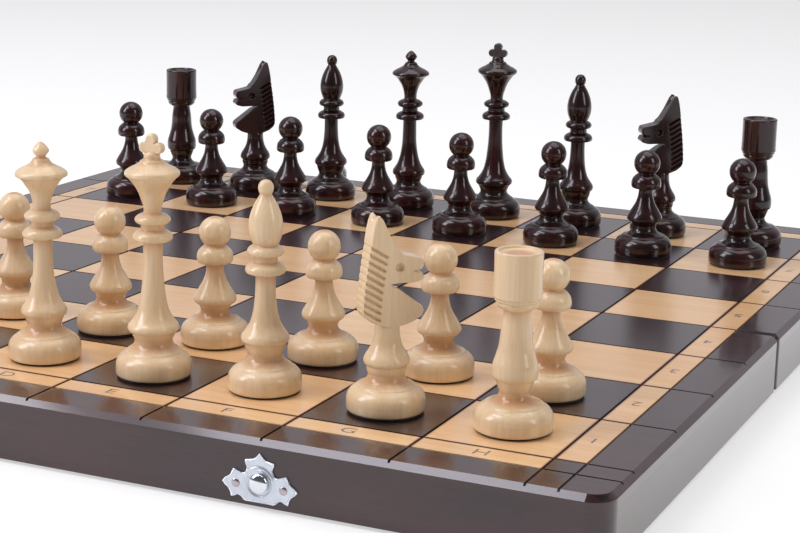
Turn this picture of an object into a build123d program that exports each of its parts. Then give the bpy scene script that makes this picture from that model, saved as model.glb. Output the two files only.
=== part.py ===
from build123d import *
import os
from math import cos, radians, sin

os.makedirs("parts", exist_ok=True)

# A folding chess box with its thirty-two men, all sizes in millimetres.
# X runs along the ranks from file a to file h, Y from rank 1 to rank 8, Z is up.
# The origin is under the middle of the open board, at the level of the lowest metal.

# ------------------------------------------------------------------ driving dimensions
SQUARE = 54.0  # one square, from groove centre to groove centre
STRIP = 13.0  # pale strip that carries the letters and figures
BORDER = 20.0  # dark border outside the strip
BOARD_H = 27.0  # height of one half of the box
TOP_T = 6.0  # thickness of the board that makes the playing face
WALL = 12.0  # thickness of the walls of each tray
VENEER = 1.5  # thickness of the inlaid squares and strips
GROOVE_W = 1.1  # scored line round every square
GROOVE_D = 0.9  # depth of the scored line in the dark border
SEAM = 0.3  # gap between the two halves when the board is open
CORNER_R = 9.5  # outer corners of the board, seen from above
SEAM_CORNER_R = 3.0  # the corners where the halves meet
EDGE_CHAMFER = 2.4  # bevel round the playing face

PIN_R = 0.75  # pins of the two board hinges
BARREL_R = 1.25  # knuckles of the board hinges
HINGE_X = 150.0  # hinges stand this far from the middle
HINGE_L = 28.0
SCREW_R = 0.8
SCREW_L = 7.0
LEAF_W = 9.0
LEAF_T = 0.8
RUNNING = 0.05  # clearance of a turning knuckle round its pin
RIM_GAP = 0.1  # each rim stops this far short of the hinge axis

LATCH_X = 108.7  # catches and hasps stand near the line between two squares
STUD_H = 9.9  # ball of the catch above the rim
STUD_R = 4.1
PLATE_T = 0.8
OUTREACH = 3.6  # catch balls and hasp knuckles stand out this far
HASP_AXIS_H = 9.5  # hasp hinge above the rim of the far half
HASP_KNUCKLE_R = 1.6
HASP_PIN_R = 0.6
NAIL_R = 0.6
NAIL_L = 6.0  # depth of every nail and rivet in the wood

FELT_T = 0.7  # felt glued under every man
FELT_GAP = 0.05  # air between the felt and the square
HEAD_T = 9.2  # thickness of a knight's carved head

# ------------------------------------------------------------------ sizes that follow
FIELD = 4 * SQUARE  # half the width of the playing field
STRIP_EDGE = FIELD + STRIP
EDGE = STRIP_EDGE + BORDER  # half the width of the board
PIN_Z = BARREL_R
RIM_Z = PIN_Z + RIM_GAP
TOP_Z = RIM_Z + BOARD_H
UNDER_TOP_Z = TOP_Z - TOP_T
STUD_Z = RIM_Z + STUD_H
HASP_AXIS_Z = RIM_Z + HASP_AXIS_H
HASP_AXIS_Y = EDGE + OUTREACH - HASP_KNUCKLE_R
HASP_REACH = STUD_Z + HASP_AXIS_Z - 2 * PIN_Z  # from the hasp's pin to its hole


def save(name, solids):
    """Write one named node; it may be a group of separate solids."""
    export_step(Compound(children=list(solids)), f"parts/{name}.step")


def block(x0, x1, y0, y1, z0, z1):
    """A rectangular block between two corners."""
    return Pos((x0 + x1) / 2, (y0 + y1) / 2, (z0 + z1) / 2) * Box(x1 - x0, y1 - y0, z1 - z0)


def upright(radius, z0, z1, x=0.0, y=0.0):
    """A cylinder standing along Z."""
    return Pos(x, y, (z0 + z1) / 2) * Cylinder(radius, z1 - z0)


def rod_x(radius, x0, x1, y, z):
    """A cylinder lying along X."""
    return Pos((x0 + x1) / 2, y, z) * Rot(0, 90, 0) * Cylinder(radius, x1 - x0)


def rod_y(radius, y0, y1, x, z):
    """A cylinder lying along Y."""
    return Pos(x, (y0 + y1) / 2, z) * Rot(90, 0, 0) * Cylinder(radius, y1 - y0)


def rounding(x, y, y_way, radius):
    """What is cut away to round an upright corner of a rail; y_way is where it points."""
    x_way = 1 if x > 0 else -1
    z0 = RIM_Z - 1
    z1 = UNDER_TOP_Z + 1
    centre = Pos(x - x_way * radius, y - y_way * radius, (z0 + z1) / 2)
    corner = Pos(x_way * radius, y_way * radius, 0) * Box(2 * radius, 2 * radius, z1 - z0)
    return centre * (corner - Cylinder(radius, z1 - z0))


# ------------------------------------------------------------------ the two halves
# Each half is modelled as the near one, between Y = -EDGE and the seam, and the far
# half is the same work turned half a turn about Z. A file line is a groove along Y.

FILE_LINES = [SQUARE * k for k in range(-4, 5)] + [-STRIP_EDGE, STRIP_EDGE]
RANK_LINES = [-SQUARE * k for k in range(1, 5)] + [-STRIP_EDGE]


def outer_rail(holes):
    """The wall opposite the seam; holes lists the radius, X and Z of each nail's hole."""
    rail = block(-EDGE, EDGE, -EDGE, -EDGE + WALL, RIM_Z, UNDER_TOP_Z)
    for side in (-1, 1):
        rail -= rounding(side * EDGE, -EDGE, -1, CORNER_R)
    for radius, x, z in holes:
        rail -= rod_y(radius, -EDGE - 1, -EDGE + NAIL_L, x, z)
    return rail


def side_rail(side):
    inner = side * (EDGE - WALL)
    outer = side * EDGE
    return block(min(inner, outer), max(inner, outer), -EDGE + WALL, -SEAM / 2 - WALL,
                 RIM_Z, UNDER_TOP_Z)


def spine_rail():
    """The wall beside the seam, cut for the hinge leaves and their knuckles."""
    rail = block(-EDGE, EDGE, -SEAM / 2 - WALL, -SEAM / 2, RIM_Z, UNDER_TOP_Z)
    for side in (-1, 1):
        x = side * HINGE_X
        rail -= rounding(side * EDGE, -SEAM / 2, 1, SEAM_CORNER_R)
        half = HINGE_L / 2 + 0.2
        rail -= block(x - half, x + half, -LEAF_W - 0.2, 0, RIM_Z - 1, RIM_Z + LEAF_T)
        rail -= rod_x(BARREL_R + 0.15, x - half, x + half, 0, PIN_Z)
        for screw_x, screw_y in screw_places(x, -1):
            rail -= upright(SCREW_R, RIM_Z, RIM_Z + LEAF_T + SCREW_L, screw_x, screw_y)
    return rail


def top_board():
    """The playing face: bevelled round three sides, recessed for the inlay, scored."""
    board = block(-EDGE, EDGE, -EDGE, -SEAM / 2, UNDER_TOP_Z, TOP_Z)
    corners = board.edges().filter_by(Axis.Z).group_by(Axis.Y)
    board = fillet(corners[0], CORNER_R)
    corners = board.edges().filter_by(Axis.Z).group_by(Axis.Y)
    board = fillet(corners[-1], SEAM_CORNER_R)
    rim = board.faces().sort_by(Axis.Z)[-1].edges().sort_by(Axis.Y)[:-1]
    board = chamfer(rim, EDGE_CHAMFER)
    board -= block(-STRIP_EDGE, STRIP_EDGE, -FIELD, 0, TOP_Z - VENEER, TOP_Z)
    board -= block(-FIELD, FIELD, -STRIP_EDGE, -FIELD, TOP_Z - VENEER, TOP_Z)
    half = GROOVE_W / 2
    for x in FILE_LINES:
        board -= block(x - half, x + half, -EDGE, 0, TOP_Z - GROOVE_D, TOP_Z)
    for y in RANK_LINES:
        board -= block(-EDGE, EDGE, y - half, y + half, TOP_Z - GROOVE_D, TOP_Z)
    return board


def tile(x0, x1, y0, y1):
    """One piece of inlay, held back from its lines by half a groove."""
    half = GROOVE_W / 2
    return block(x0 + half, x1 - half, y0 + half, y1 - half, TOP_Z - VENEER, TOP_Z)


def squares(dark):
    """Sixteen of the half's squares; the corner square a1 is a dark one."""
    found = []
    for file in range(8):
        for rank in range(4):
            if (file + rank) % 2 == (0 if dark else 1):
                x0 = (file - 4) * SQUARE
                y0 = (rank - 4) * SQUARE
                found.append(tile(x0, x0 + SQUARE, y0, y0 + SQUARE))
    return found


def label_strips():
    """Pale strips along the front and both sides, one length to each square."""
    strips = []
    for file in range(8):
        x0 = (file - 4) * SQUARE
        strips.append(tile(x0, x0 + SQUARE, -STRIP_EDGE, -FIELD))
    for rank in range(4):
        y0 = (rank - 4) * SQUARE
        strips.append(tile(-STRIP_EDGE, -FIELD, y0, y0 + SQUARE))
        strips.append(tile(FIELD, STRIP_EDGE, y0, y0 + SQUARE))
    return strips


def build_half(name, outer_wall, holes, turn):
    facing = Rot(0, 0, turn)
    left, right = (-1, 1) if turn == 0 else (1, -1)
    save(f"{name}_{outer_wall}", [facing * outer_rail(holes)])
    save(f"{name}_left_rail", [facing * side_rail(left)])
    save(f"{name}_right_rail", [facing * side_rail(right)])
    save(f"{name}_spine_rail", [facing * spine_rail()])
    save(f"{name}_top_board", [facing * top_board()])
    save(f"{name}_light_squares", [facing * piece for piece in squares(dark=False)])
    save(f"{name}_dark_squares", [facing * piece for piece in squares(dark=True)])
    save(f"{name}_label_strips", [facing * piece for piece in label_strips()])


# ------------------------------------------------------------------ board hinges
# Two small butt hinges lie in the rims. The outer knuckles belong to the near leaf and
# the middle one to the far leaf, so the far half turns about the pins.

KNUCKLE_END = HINGE_L / 2
KNUCKLE_MID = 5.0  # half the length of the middle knuckle
KNUCKLE_SLACK = 0.1


def knuckle(x, a, b, bore):
    return rod_x(BARREL_R, x + a, x + b, 0, PIN_Z) - rod_x(bore, x + a - 1, x + b + 1, 0, PIN_Z)


def screw_places(x, side):
    """Centres of a leaf's two screws; side is -1 on the near leaf and 1 on the far."""
    return [(x + dx, side * 5.4) for dx in (-9.0, 9.0)]


def hinge_screw(x, y):
    """A small countersunk screw driven up into the rim."""
    head = Pos(x, y, RIM_Z + LEAF_T / 2) * Cone(2 * SCREW_R, SCREW_R, LEAF_T)
    return head + upright(SCREW_R, RIM_Z + LEAF_T, RIM_Z + LEAF_T + SCREW_L, x, y)


def near_leaf(x):
    leaf = block(x - KNUCKLE_END, x + KNUCKLE_END, -LEAF_W, -BARREL_R - 0.2, RIM_Z, RIM_Z + LEAF_T)
    for a, b in ((-KNUCKLE_END, -KNUCKLE_MID - KNUCKLE_SLACK), (KNUCKLE_MID + KNUCKLE_SLACK, KNUCKLE_END)):
        arm = block(x + a, x + b, -BARREL_R - 0.2, 0, RIM_Z, RIM_Z + LEAF_T)
        leaf += arm - rod_x(BARREL_R - 0.2, x + a, x + b, 0, PIN_Z)
        leaf += knuckle(x, a, b, PIN_R)
    for sx, sy in screw_places(x, -1):
        leaf -= hinge_screw(sx, sy)
    return leaf


def far_leaf(x):
    leaf = block(x - KNUCKLE_END, x + KNUCKLE_END, BARREL_R + 0.2, LEAF_W, RIM_Z, RIM_Z + LEAF_T)
    arm = block(x - KNUCKLE_MID, x + KNUCKLE_MID, 0, BARREL_R + 0.2, RIM_Z, RIM_Z + LEAF_T)
    leaf += arm - rod_x(BARREL_R - 0.2, x - KNUCKLE_MID, x + KNUCKLE_MID, 0, PIN_Z)
    leaf += knuckle(x, -KNUCKLE_MID, KNUCKLE_MID, PIN_R + RUNNING)
    for sx, sy in screw_places(x, 1):
        leaf -= hinge_screw(sx, sy)
    return leaf


def hinge_pin(x):
    return rod_x(PIN_R, x - KNUCKLE_END, x + KNUCKLE_END, 0, PIN_Z)


# ------------------------------------------------------------------ catches and hasps
# A catch is a stamped plate with a ball, nailed to the near wall. Its hasp is hinged on
# the far wall; at rest it is folded up over its own leaf and stands above the edge.

CATCH_HALF = [(0, 12.0), (2.7, 9.4), (6.3, 8.7), (5.6, 5.2), (7.0, 2.6), (9.4, 2.5), (11.8, 4.3),
              (13.5, 0.8), (16.5, -1.6), (13.6, -4.1), (12.5, -7.3), (9.4, -5.4), (6.2, -8.2)]
CATCH_NAIL = (10.4, STUD_Z - 1.5)  # beside the middle of the catch, and its height
HASP_LEAF_HALF = [(3.2, 1.8), (3.2, 0.4), (9.0, 0.4), (9.0, 5.0), (11.5, 7.5), (9.0, 10.0),
                  (5.0, 9.5), (0, 13.0)]
HASP_NAIL = (7.2, HASP_AXIS_Z + 6.8)
HASP_HINGE_MID = 3.2  # the fixed knuckles run from here to the end, each side
HASP_HINGE_END = 8.4
TONGUE_HALF = [(3.0, 1.0), (3.0, 2.4), (6.4, 4.6), (5.2, 9.0), (7.8, 13.5), (9.6, 19.0), (8.2, 24.0),
               (6.3, 27.6), (2.7, 28.2), (0, 31.0)]
HASP_HOLE_R = STUD_R + 0.7


def symmetric_plate(half, x, z, y0, y1):
    """A plate stamped to an outline that is the same on both sides, standing in XZ."""
    left = [(-u, v) for u, v in reversed(half) if u > 0]
    face = make_face(Polyline(*half, *left, close=True))
    return Pos(x, y1, z) * Rot(90, 0, 0) * extrude(face, y1 - y0)


def both_sides(x, place):
    """The X and Z of a pair of nails that stand left and right of a fitting."""
    return [(x + side * place[0], place[1]) for side in (-1, 1)]


def nail(x, z, face_y, inward):
    """A round-headed nail in a fitting; inward is the way it is driven along Y."""
    ends = sorted((face_y, face_y + inward * (NAIL_L + PLATE_T)))
    shank = rod_y(NAIL_R, ends[0], ends[1], x, z)
    head = Pos(x, face_y + inward * 1.2, z) * Sphere(1.8)
    return shank + (head & Pos(x, face_y - inward * 4.0, z) * Box(8, 8, 8))


def catch_plate(x):
    plate = symmetric_plate(CATCH_HALF, x, STUD_Z, -EDGE - PLATE_T, -EDGE)
    plate -= rod_y(PIN_R, -EDGE - 2, -EDGE + 1, x, STUD_Z)
    for nail_x, nail_z in both_sides(x, CATCH_NAIL):
        plate -= rod_y(NAIL_R, -EDGE - 2, -EDGE + 1, nail_x, nail_z)
    return plate


def catch_stud(x):
    """A domed ball on a rivet; the dome starts at the plate and reaches OUTREACH."""
    height = OUTREACH - PLATE_T
    ball_r = (STUD_R**2 + height**2) / (2 * height)
    ball = Pos(x, -EDGE - OUTREACH + ball_r, STUD_Z) * Sphere(ball_r)
    dome = ball & block(x - 9, x + 9, -EDGE - 9, -EDGE - PLATE_T, STUD_Z - 9, STUD_Z + 9)
    return dome + rod_y(PIN_R, -EDGE - PLATE_T - 0.5, -EDGE + NAIL_L, x, STUD_Z)


def catch_nails(x):
    return [nail(nx, nz, -EDGE - PLATE_T, 1) for nx, nz in both_sides(x, CATCH_NAIL)]


def hasp_leaf(x):
    leaf = symmetric_plate(HASP_LEAF_HALF, x, HASP_AXIS_Z, EDGE, EDGE + PLATE_T)
    for a, b in ((-HASP_HINGE_END, -HASP_HINGE_MID), (HASP_HINGE_MID, HASP_HINGE_END)):
        leaf += rod_x(HASP_KNUCKLE_R, x + a, x + b, HASP_AXIS_Y, HASP_AXIS_Z)
    leaf -= rod_x(HASP_PIN_R, x - 9, x + 9, HASP_AXIS_Y, HASP_AXIS_Z)
    for nail_x, nail_z in both_sides(x, HASP_NAIL):
        leaf -= rod_y(NAIL_R, EDGE - 1, EDGE + 2, nail_x, nail_z)
    return leaf


def hasp_pin(x):
    return rod_x(HASP_PIN_R, x - HASP_HINGE_END, x + HASP_HINGE_END, HASP_AXIS_Y, HASP_AXIS_Z)


def hasp_nails(x):
    return [nail(nx, nz, EDGE + PLATE_T, -1) for nx, nz in both_sides(x, HASP_NAIL)]


def hasp(x):
    """The swinging tongue: a middle knuckle and a hole that drops over the ball."""
    y0 = HASP_AXIS_Y - PLATE_T / 2
    y1 = HASP_AXIS_Y + PLATE_T / 2
    knuckle_half = HASP_HINGE_MID - 0.2
    tongue = symmetric_plate(TONGUE_HALF, x, HASP_AXIS_Z, y0, y1)
    tongue += rod_x(HASP_KNUCKLE_R, x - knuckle_half, x + knuckle_half, HASP_AXIS_Y, HASP_AXIS_Z)
    tongue -= rod_x(HASP_PIN_R + RUNNING, x - 4, x + 4, HASP_AXIS_Y, HASP_AXIS_Z)
    tongue -= rod_y(HASP_HOLE_R, y0 - 1, y1 + 1, x, HASP_AXIS_Z + HASP_REACH)
    return tongue


# ------------------------------------------------------------------ turned men
# Every man is a turning. Its outline is drawn as radius against height above the
# square, from the middle of its foot round to its tip, in lines, arcs and splines.

# The section of a turned ring, as shares of its overhang and of its height: a collar is
# cut flat underneath, a plain ring is rounded, and both run out hollow at the top.
COLLAR = [(0.72, 0.02), (0.93, 0.10), (1.0, 0.26), (0.98, 0.44), (0.86, 0.62), (0.62, 0.77),
          (0.30, 0.90), (0, 1)]
RING = [(0, 0), (0.38, 0.04), (0.72, 0.12), (0.95, 0.27), (1.0, 0.42), (0.93, 0.59), (0.70, 0.76),
        (0.36, 0.90), (0, 1)]


def ring(section, r0, z0, radius, r1, z1):
    """A turned ring from (r0, z0) out to its full radius and back in to (r1, z1)."""
    points = []
    for out, up in section:
        base = r0 if up < 0.35 else r1
        points.append((base + out * (radius - base), z0 + up * (z1 - z0)))
    edges = [Spline(*points)]
    if points[0][0] > r0:
        edges.insert(0, Line((r0, z0), points[0]))
    return edges


def foot(radius, neck, skirt, skirt_z):
    """Drum, step and waisted neck under the skirt, which all the men share."""
    shoulder = 0.76 * radius
    return [
        Line((0, FELT_T), (radius - 0.8, FELT_T)),
        ThreePointArc((radius - 0.8, FELT_T), (radius - 0.1, 1.8), (radius, 3.2)),
        Line((radius, 3.2), (radius, 4.8)),
        ThreePointArc((radius, 4.8), (0.955 * radius, 7.9), (shoulder, 10.6)),
        Line((shoulder, 10.6), (shoulder - 0.6, 11.3)),
        Spline((shoulder - 0.6, 11.3), (neck + 1.2, 13.4), (neck, 16.2), tangents=((-1, 0.35), (0, 1))),
        Spline((neck, 16.2), (skirt - 1.2, skirt_z - 2.2), tangents=((0, 1), (1, 0.35))),
        ThreePointArc((skirt - 1.2, skirt_z - 2.2), (skirt - 0.25, skirt_z - 1.3), (skirt, skirt_z)),
    ]


def stem(skirt, skirt_z, waist, waist_z, top, top_z):
    """The long hollow from the skirt up to the first ring."""
    low = waist + 0.30 * (skirt - waist)
    return [
        Spline((skirt, skirt_z), (low, skirt_z + 0.36 * (waist_z - skirt_z)), (waist, waist_z), (top, top_z),
               tangents=((-0.35, 1), (0, 1))),
    ]


def turn(outline):
    """Close an outline along the axis and turn it into a solid."""
    start = outline[0] @ 0
    end = outline[-1] @ 1
    closing = [Line((end.X, end.Y), (start.X, start.Y))]
    face = make_face(Curve() + outline + closing)
    return revolve(Plane.XZ * face, Axis.Z, 360)


def pawn():
    ball_r = 7.15
    ball_z = 51.0
    seat_z = 45.4
    seat_r = (ball_r**2 - (ball_z - seat_z) ** 2) ** 0.5
    return turn(foot(15.65, 6.45, 9.65, 20.9) + stem(9.65, 20.9, 3.85, 34.0, 3.8, 37.0) + [
        *ring(COLLAR, 3.8, 37.0, 8.15, seat_r, seat_z),
        ThreePointArc((seat_r, seat_z), (ball_r, ball_z), (0, ball_z + ball_r)),
    ])


def rook():
    return turn(foot(15.95, 6.1, 9.2, 22.8) + stem(9.2, 22.8, 6.1, 40.0, 5.25, 49.0) + [
        Line((5.25, 49.0), (6.4, 49.0)),
        Spline((6.4, 49.0), (8.0, 49.9), (8.7, 51.4), tangents=((1, 0.2), (0, 1))),
        Line((8.7, 51.4), (8.5, 51.9)),
        Line((8.5, 51.9), (9.1, 52.6)),
        Line((9.1, 52.6), (8.9, 53.3)),
        Line((8.9, 53.3), (9.6, 54.0)),
        Line((9.6, 54.0), (9.45, 63.0)),
        Line((9.45, 63.0), (9.55, 71.4)),
        ThreePointArc((9.55, 71.4), (9.3, 72.0), (8.7, 72.2)),
        Line((8.7, 72.2), (7.9, 72.2)),
        ThreePointArc((7.9, 72.2), (7.2, 71.4), (6.0, 71.0)),
        Line((6.0, 71.0), (0, 71.0)),
    ])


def bishop():
    return turn(foot(15.5, 7.3, 10.2, 22.8) + stem(10.2, 22.8, 4.2, 42.0, 4.05, 49.6) + [
        *ring(COLLAR, 4.05, 49.6, 8.5, 5.0, 57.2),
        Line((5.0, 57.2), (5.0, 57.8)),
        *ring(RING, 5.0, 57.8, 7.75, 5.3, 64.0),
        Spline((5.3, 64.0), (6.85, 70.0), (4.6, 79.1), (2.4, 82.9), tangents=((0.5, 1), (-0.45, 1))),
        Spline((2.4, 82.9), (3.15, 85.8), (0, 88.9), tangents=((1, 0.6), (-1, 0))),
    ])


def queen():
    return turn(foot(15.8, 7.35, 9.95, 21.4) + stem(9.95, 21.4, 4.25, 45.0, 3.9, 53.2) + [
        *ring(COLLAR, 3.9, 53.2, 9.0, 5.1, 61.2),
        Line((5.1, 61.2), (5.1, 61.9)),
        *ring(RING, 5.1, 61.9, 7.7, 4.4, 69.6),
        Spline((4.4, 69.6), (5.3, 74.0), (9.3, 79.4), tangents=((-0.1, 1), (1, 0.85))),
        Spline((9.3, 79.4), (11.25, 81.3), (8.6, 84.2), (4.6, 86.6), tangents=((1, 0.6), (-1, 0.45))),
        Line((4.6, 86.6), (3.9, 87.6)),
        ThreePointArc((3.9, 87.6), (2.6, 88.3), (1.9, 89.0)),
        Spline((1.9, 89.0), (3.6, 91.4), (1.6, 94.2), (0, 95.3), tangents=((1, 0.3), (-1, 0.5))),
    ])


def king():
    body = turn(foot(16.1, 8.0, 11.0, 21.4) + stem(11.0, 21.4, 4.4, 46.0, 4.15, 57.0) + [
        *ring(COLLAR, 4.15, 57.0, 8.85, 5.3, 64.6),
        Line((5.3, 64.6), (5.3, 65.3)),
        *ring(RING, 5.3, 65.3, 8.1, 4.75, 73.0),
        Spline((4.75, 73.0), (5.6, 77.6), (10.1, 85.0), tangents=((0, 1), (1, 0.8))),
        Spline((10.1, 85.0), (11.65, 86.9), (8.8, 89.4), (5.3, 91.3), tangents=((1, 0.6), (-1, 0.5))),
        Line((5.3, 91.3), (4.9, 92.4)),
        ThreePointArc((4.9, 92.4), (3.9, 93.2), (3.6, 94.4)),
        Line((3.6, 94.4), (3.6, 95.4)),
        Line((3.6, 95.4), (0, 95.4)),
    ])
    return body + king_cross()


def king_cross():
    """A plain trefoil, sawn flat and left on top of the crown, its arms along X."""
    half_t = 1.8
    lobe_r = 2.3
    arms = Pos(0, 0, 97.8) * Box(6.6, 2 * half_t, 3.9)
    for side in (-1, 1):
        arms += Pos(side * 3.3, 0, 97.8) * Rot(90, 0, 0) * Cylinder(lobe_r, 2 * half_t)
    post = Pos(0, 0, 98.2) * Box(4.0, 2 * half_t, 6.6)
    tip = Pos(0, 0, 101.4) * Rot(90, 0, 0) * Cylinder(lobe_r, 2 * half_t)
    return arms + post + tip


# The knight's head is sawn from a flat blank and carved; forward is +X here.
HEAD_BACK = [(-6.2, 81.2), (-7.7, 79.0), (-9.5, 66.8), (-11.2, 52.8), (-12.0, 42.6)]
HEAD_FOOT = [(-11.0, 40.0), (-6.0, 36.9), (0.4, 35.6), (7.4, 36.6), (13.4, 39.7)]
HEAD_FRONT = [(14.2, 41.8), (13.3, 43.6), (3.0, 51.4), (1.0, 50.6), (2.4, 52.6), (9.8, 52.2), (13.0, 53.4),
              (13.9, 55.0), (13.6, 57.0), (12.0, 57.9), (9.6, 57.6), (12.0, 58.5), (13.6, 59.6),
              (13.7, 62.2), (12.9, 63.7), (8.6, 65.0), (4.2, 66.0), (3.5, 68.0), (1.0, 68.6),
              (-1.0, 72.6), (-4.8, 79.8)]
MANE_CUTS = 10
MANE_PITCH = 2.7
MANE_SLOPE = 40.0  # degrees the cuts fall as they run forward
MANE_L = 8.0


def mane_cut(number):
    """One slanting saw cut in each side, from the back edge of the neck forward."""
    across = MANE_L * cos(radians(MANE_SLOPE)) / 2
    fall = MANE_L * sin(radians(MANE_SLOPE)) / 2
    start_x = -9.9 - 0.27 * number
    middle = (start_x + across, 66.6 - MANE_PITCH * number - fall)
    wedge = Rot(0, MANE_SLOPE, 0) * Rot(45, 0, 0) * Box(MANE_L, 1.3, 1.3)
    return [Pos(middle[0], side * HEAD_T / 2, middle[1]) * wedge for side in (-1, 1)]


def knight_head():
    outline = Polyline(*HEAD_BACK, *HEAD_FOOT, *HEAD_FRONT, close=True)
    head = Pos(0, HEAD_T / 2, 0) * Rot(90, 0, 0) * extrude(make_face(outline), HEAD_T)
    for number in range(MANE_CUTS):
        for cut in mane_cut(number):
            head -= cut
    head -= Pos(-4.6, 0, 81.6) * Rot(0, -60, 0) * Box(12.0, 1.6, 3.0)
    for side in (-1, 1):
        head -= Pos(3.3, side * (HEAD_T / 2 + 1.0), 60.6) * Sphere(1.9)
    return head - upright(2.5, 30, 44)


def knight_base():
    return turn(foot(16.1, 7.45, 9.5, 21.5) + [
        Spline((9.5, 21.5), (7.0, 25.9), (5.1, 32.0), (5.0, 35.4), tangents=((-0.35, 1), (0, 1))),
        Line((5.0, 35.4), (5.0, 35.5)),
        Line((5.0, 35.5), (2.5, 35.5)),
        Line((2.5, 35.5), (2.5, 44.0)),
        Line((2.5, 44.0), (0, 44.0)),
    ])


def felt(radius):
    return upright(radius - 0.9, 0, FELT_T)


FOOT_R = {"pawn": 15.65, "rook": 15.95, "knight": 16.1, "bishop": 15.5, "queen": 15.8, "king": 16.1}
BACK_RANK = ["rook", "knight", "bishop", "queen", "king", "bishop", "knight", "rook"]

# Where a man stands beside the middle of its square, and how far a knight is turned
# anticlockwise from the direction of +X. Men are set down by hand, never quite centred.
SET_DOWN = {
    "white_pawn_c": (-2.5, -2.0), "white_pawn_d": (-1.4, -5.6), "white_pawn_e": (-2.5, -2.0),
    "white_pawn_f": (-1.5, -3.0), "white_pawn_g": (-1.2, -1.0), "white_pawn_h": (-3.4, -4.9),
    "white_queen": (-1.1, -4.7), "white_king": (0.3, -4.8), "white_bishop_f": (-2.0, -1.5),
    "white_knight_g": (0.0, -3.0), "white_rook_h": (0.7, -2.0),
    "black_rook_a": (1.5, 0.0), "black_knight_b": (1.1, 0.4), "black_rook_h": (-1.0, 0.0),
    "black_pawn_a": (-1.4, -1.5), "black_pawn_b": (0.9, -0.4), "black_pawn_c": (1.2, -1.0),
    "black_pawn_d": (4.9, -0.5),
    "black_pawn_e": (3.2, -1.2), "black_pawn_f": (5.0, -0.9), "black_pawn_g": (5.5, -1.6),
    "black_pawn_h": (4.3, 0.4), "black_bishop_c": (0.8, 0.0), "black_king": (2.5, -1.0),
    "black_knight_g": (-2.8, -0.8),
}
KNIGHT_FACING = {"white_knight_b": 45, "white_knight_g": 46, "black_knight_b": 224, "black_knight_g": 214}


def man(kind, facing):
    """All the separate solids of one man, standing at the origin."""
    pieces = [felt(FOOT_R[kind])]
    if kind == "knight":
        pieces += [Rot(0, 0, facing) * knight_base(), Rot(0, 0, facing) * knight_head()]
    else:
        pieces.append({"pawn": pawn, "rook": rook, "bishop": bishop, "queen": queen, "king": king}[kind]())
    return pieces


def man_name(colour, kind, file):
    letter = "abcdefgh"[file]
    return f"{colour}_{kind}" if kind in ("queen", "king") else f"{colour}_{kind}_{letter}"


def set_down(colour, kind, file, rank):
    name = man_name(colour, kind, file)
    dx, dy = SET_DOWN.get(name, (0, 0))
    place = Pos((file - 3.5) * SQUARE + dx, (rank - 3.5) * SQUARE + dy, TOP_Z + FELT_GAP)
    save(name, [place * piece for piece in man(kind, KNIGHT_FACING.get(name, 0))])


# ------------------------------------------------------------------ build everything
HINGES = (-HINGE_X, HINGE_X)
LATCHES = (-LATCH_X, LATCH_X)

nail_holes = [(NAIL_R, *place) for x in LATCHES for place in both_sides(x, CATCH_NAIL)]
rivet_holes = [(PIN_R, x, STUD_Z) for x in LATCHES]
build_half("near", "front_rail", nail_holes + rivet_holes, 0)
hasp_holes = [(NAIL_R, *place) for x in LATCHES for place in both_sides(x, HASP_NAIL)]
build_half("far", "back_rail", hasp_holes, 180)

save("near_hinge_leaves", [near_leaf(x) for x in HINGES])
save("far_hinge_leaves", [far_leaf(x) for x in HINGES])
save("hinge_pins", [hinge_pin(x) for x in HINGES])
save("near_hinge_screws", [hinge_screw(*place) for x in HINGES for place in screw_places(x, -1)])
save("far_hinge_screws", [hinge_screw(*place) for x in HINGES for place in screw_places(x, 1)])
save("catch_plates", [catch_plate(x) for x in LATCHES])
save("catch_studs", [catch_stud(x) for x in LATCHES])
save("catch_nails", [one for x in LATCHES for one in catch_nails(x)])
save("hasp_leaves", [hasp_leaf(x) for x in LATCHES] + [hasp_pin(x) for x in LATCHES])
save("hasp_nails", [one for x in LATCHES for one in hasp_nails(x)])
save("left_hasp", [hasp(-LATCH_X)])
save("right_hasp", [hasp(LATCH_X)])

for file, kind in enumerate(BACK_RANK):
    set_down("white", kind, file, 0)
    set_down("white", "pawn", file, 1)
    set_down("black", "pawn", file, 6)
    set_down("black", kind, file, 7)
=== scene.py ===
import math

import bpy
import numpy as np
from mathutils import Matrix, Vector


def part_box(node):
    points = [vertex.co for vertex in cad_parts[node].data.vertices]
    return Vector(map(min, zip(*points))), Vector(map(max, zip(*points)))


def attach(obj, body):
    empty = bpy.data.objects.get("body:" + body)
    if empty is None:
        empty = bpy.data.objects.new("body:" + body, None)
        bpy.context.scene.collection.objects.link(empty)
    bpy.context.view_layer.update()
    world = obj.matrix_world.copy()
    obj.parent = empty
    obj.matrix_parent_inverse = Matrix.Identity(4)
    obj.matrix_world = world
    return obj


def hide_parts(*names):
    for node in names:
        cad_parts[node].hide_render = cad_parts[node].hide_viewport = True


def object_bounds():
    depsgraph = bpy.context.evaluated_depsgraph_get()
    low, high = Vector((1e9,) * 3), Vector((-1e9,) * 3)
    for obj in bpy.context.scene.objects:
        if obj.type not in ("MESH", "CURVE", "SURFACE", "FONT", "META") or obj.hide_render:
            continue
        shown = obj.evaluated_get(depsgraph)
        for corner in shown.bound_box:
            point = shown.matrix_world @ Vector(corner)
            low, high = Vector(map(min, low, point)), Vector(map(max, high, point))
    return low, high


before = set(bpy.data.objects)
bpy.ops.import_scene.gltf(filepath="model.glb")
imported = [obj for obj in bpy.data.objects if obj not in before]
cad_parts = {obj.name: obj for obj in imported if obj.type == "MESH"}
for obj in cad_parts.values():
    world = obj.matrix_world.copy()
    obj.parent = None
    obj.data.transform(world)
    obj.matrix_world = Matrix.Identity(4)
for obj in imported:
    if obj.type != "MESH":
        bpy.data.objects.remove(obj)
cad_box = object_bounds()

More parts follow.
